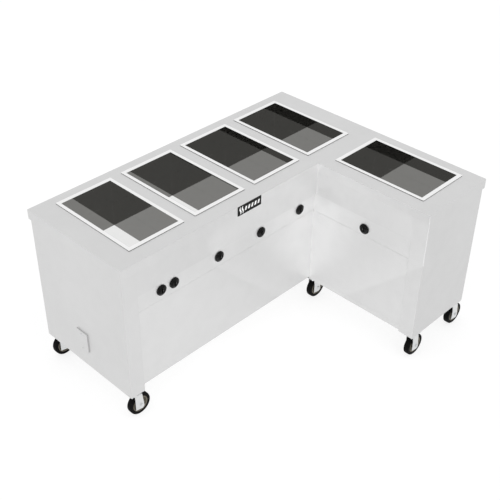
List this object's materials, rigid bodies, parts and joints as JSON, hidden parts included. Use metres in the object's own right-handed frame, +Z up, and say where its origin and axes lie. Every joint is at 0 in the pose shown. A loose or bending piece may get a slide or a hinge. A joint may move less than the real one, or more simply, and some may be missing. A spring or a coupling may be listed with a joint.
{
  "type": "steam table unit",
  "caption": "L-shaped stainless hot food serving table with drop-in heated wells, rotary controls on its inner side and swivel casters.",
  "frame": {"origin": "on the floor, under the centre of the bounding box", "axes": "+X along the long leg towards the end with the short leg, +Y towards the back, +Z up"},
  "size_m": [1.8502, 1.422, 0.941],
  "materials": {
    "stainless_top": "satin stainless sheet with a fine straight grain",
    "stainless_body": "satin stainless sheet with a fine straight grain",
    "stainless_well": "bright drawn stainless, polished inside",
    "element_sheath": "oxidised alloy tube",
    "frame_steel": "grey primer on square steel tube",
    "switch_body": "moulded phenolic",
    "black_plastic": "semi-gloss moulded phenolic",
    "nameplate_black": "black laminate, blank",
    "cover_steel": "satin stainless",
    "caster_zinc": "bright zinc plate",
    "tyre_rubber": "black rubber, slightly worn on the tread",
    "hub_polymer": "olive-grey moulded core"
  },
  "bodies": {
    "cabinet": {"countertop": "stainless_top", "well_1": "stainless_well", "well_2": "stainless_well", "well_3": "stainless_well", "well_4": "stainless_well", "well_5": "stainless_well", "heating_element_1": "element_sheath", "heating_element_2": "element_sheath", "heating_element_3": "element_sheath", "heating_element_4": "element_sheath", "heating_element_5": "element_sheath", "end_panel_left": "stainless_body", "end_panel_front": "stainless_body", "side_panel_right": "stainless_body", "back_panel": "stainless_body", "front_apron": "stainless_body", "control_panel_long": "stainless_body", "control_panel_short": "stainless_body", "lower_panel_long": "stainless_body", "lower_panel_short": "stainless_body", "bottom_pan": "stainless_body", "base_frame": "frame_steel", "switch_master": "switch_body", "switch_well_1": "switch_body", "switch_well_2": "switch_body", "switch_well_3": "switch_body", "switch_well_4": "switch_body", "switch_well_5": "switch_body", "nameplate": "nameplate_black", "power_inlet_cover": "cover_steel", "caster_plate_left_front": "caster_zinc", "caster_plate_inner_corner": "caster_zinc", "caster_plate_short_leg_left": "caster_zinc", "caster_plate_short_leg_right": "caster_zinc", "caster_plate_right_back": "caster_zinc", "caster_plate_left_back": "caster_zinc"},
    "knob_master": {"knob_master": "black_plastic"},
    "knob_well_1": {"knob_well_1": "black_plastic"},
    "knob_well_2": {"knob_well_2": "black_plastic"},
    "knob_well_3": {"knob_well_3": "black_plastic"},
    "knob_well_4": {"knob_well_4": "black_plastic"},
    "knob_well_5": {"knob_well_5": "black_plastic"},
    "fork_left_front": {"caster_fork_left_front": "caster_zinc"},
    "wheel_left_front": {"tyre_left_front": "tyre_rubber", "wheel_hub_left_front": "hub_polymer"},
    "fork_inner_corner": {"caster_fork_inner_corner": "caster_zinc"},
    "wheel_inner_corner": {"tyre_inner_corner": "tyre_rubber", "wheel_hub_inner_corner": "hub_polymer"},
    "fork_short_leg_left": {"caster_fork_short_leg_left": "caster_zinc"},
    "wheel_short_leg_left": {"tyre_short_leg_left": "tyre_rubber", "wheel_hub_short_leg_left": "hub_polymer"},
    "fork_short_leg_right": {"caster_fork_short_leg_right": "caster_zinc"},
    "wheel_short_leg_right": {"tyre_short_leg_right": "tyre_rubber", "wheel_hub_short_leg_right": "hub_polymer"},
    "fork_right_back": {"caster_fork_right_back": "caster_zinc"},
    "wheel_right_back": {"tyre_right_back": "tyre_rubber", "wheel_hub_right_back": "hub_polymer"},
    "fork_left_back": {"caster_fork_left_back": "caster_zinc"},
    "wheel_left_back": {"tyre_left_back": "tyre_rubber", "wheel_hub_left_back": "hub_polymer"}
  },
  "joints": [
    {"name": "knob_master_turn", "type": "hinge", "parent": "cabinet", "child": "knob_master", "pos_m": [-0.66685, 0.0235, 0.684], "axis": [0, 1, 0], "range_deg": [0, 90]},
    {"name": "knob_well_1_turn", "type": "hinge", "parent": "cabinet", "child": "knob_well_1", "pos_m": [-0.58585, 0.0235, 0.684], "axis": [0, 1, 0], "range_deg": [0, 300]},
    {"name": "knob_well_2_turn", "type": "hinge", "parent": "cabinet", "child": "knob_well_2", "pos_m": [-0.28485, 0.0235, 0.684], "axis": [0, 1, 0], "range_deg": [0, 300]},
    {"name": "knob_well_3_turn", "type": "hinge", "parent": "cabinet", "child": "knob_well_3", "pos_m": [0.01615, 0.0235, 0.684], "axis": [0, 1, 0], "range_deg": [0, 300]},
    {"name": "knob_well_4_turn", "type": "hinge", "parent": "cabinet", "child": "knob_well_4", "pos_m": [0.31715, 0.0235, 0.684], "axis": [0, 1, 0], "range_deg": [0, 300]},
    {"name": "knob_well_5_turn", "type": "hinge", "parent": "cabinet", "child": "knob_well_5", "pos_m": [0.43465, -0.3259, 0.6705], "axis": [1, 0, 0], "range_deg": [0, 300]},
    {"name": "swivel_left_front", "type": "hinge", "parent": "cabinet", "child": "fork_left_front", "pos_m": [-0.86985, 0.03, 0.1427], "axis": [0, 0, 1], "continuous": true},
    {"name": "wheel_left_front_roll", "type": "hinge", "parent": "fork_left_front", "child": "wheel_left_front", "pos_m": [-0.85185, 0.03, 0.0635], "axis": [0, 1, 0], "continuous": true},
    {"name": "swivel_inner_corner", "type": "hinge", "parent": "cabinet", "child": "fork_inner_corner", "pos_m": [0.47815, 0.024, 0.1427], "axis": [0, 0, 1], "continuous": true},
    {"name": "wheel_inner_corner_roll", "type": "hinge", "parent": "fork_inner_corner", "child": "wheel_inner_corner", "pos_m": [0.49615, 0.024, 0.0635], "axis": [0, 1, 0], "continuous": true},
    {"name": "swivel_short_leg_left", "type": "hinge", "parent": "cabinet", "child": "fork_short_leg_left", "pos_m": [0.47015, -0.681, 0.1427], "axis": [0, 0, 1], "continuous": true},
    {"name": "wheel_short_leg_left_roll", "type": "hinge", "parent": "fork_short_leg_left", "child": "wheel_short_leg_left", "pos_m": [0.48815, -0.681, 0.0635], "axis": [0, 1, 0], "continuous": true},
    {"name": "swivel_short_leg_right", "type": "hinge", "parent": "cabinet", "child": "fork_short_leg_right", "pos_m": [0.84365, -0.681, 0.1427], "axis": [0, 0, 1], "continuous": true},
    {"name": "wheel_short_leg_right_roll", "type": "hinge", "parent": "fork_short_leg_right", "child": "wheel_short_leg_right", "pos_m": [0.86165, -0.681, 0.0635], "axis": [0, 1, 0], "continuous": true},
    {"name": "swivel_right_back", "type": "hinge", "parent": "cabinet", "child": "fork_right_back", "pos_m": [0.84365, 0.6595, 0.1427], "axis": [0, 0, 1], "continuous": true},
    {"name": "wheel_right_back_roll", "type": "hinge", "parent": "fork_right_back", "child": "wheel_right_back", "pos_m": [0.86165, 0.6595, 0.0635], "axis": [0, 1, 0], "continuous": true},
    {"name": "swivel_left_back", "type": "hinge", "parent": "cabinet", "child": "fork_left_back", "pos_m": [-0.86985, 0.6595, 0.1427], "axis": [0, 0, 1], "continuous": true},
    {"name": "wheel_left_back_roll", "type": "hinge", "parent": "fork_left_back", "child": "wheel_left_back", "pos_m": [-0.85185, 0.6595, 0.0635], "axis": [0, 1, 0], "continuous": true}
  ]
}
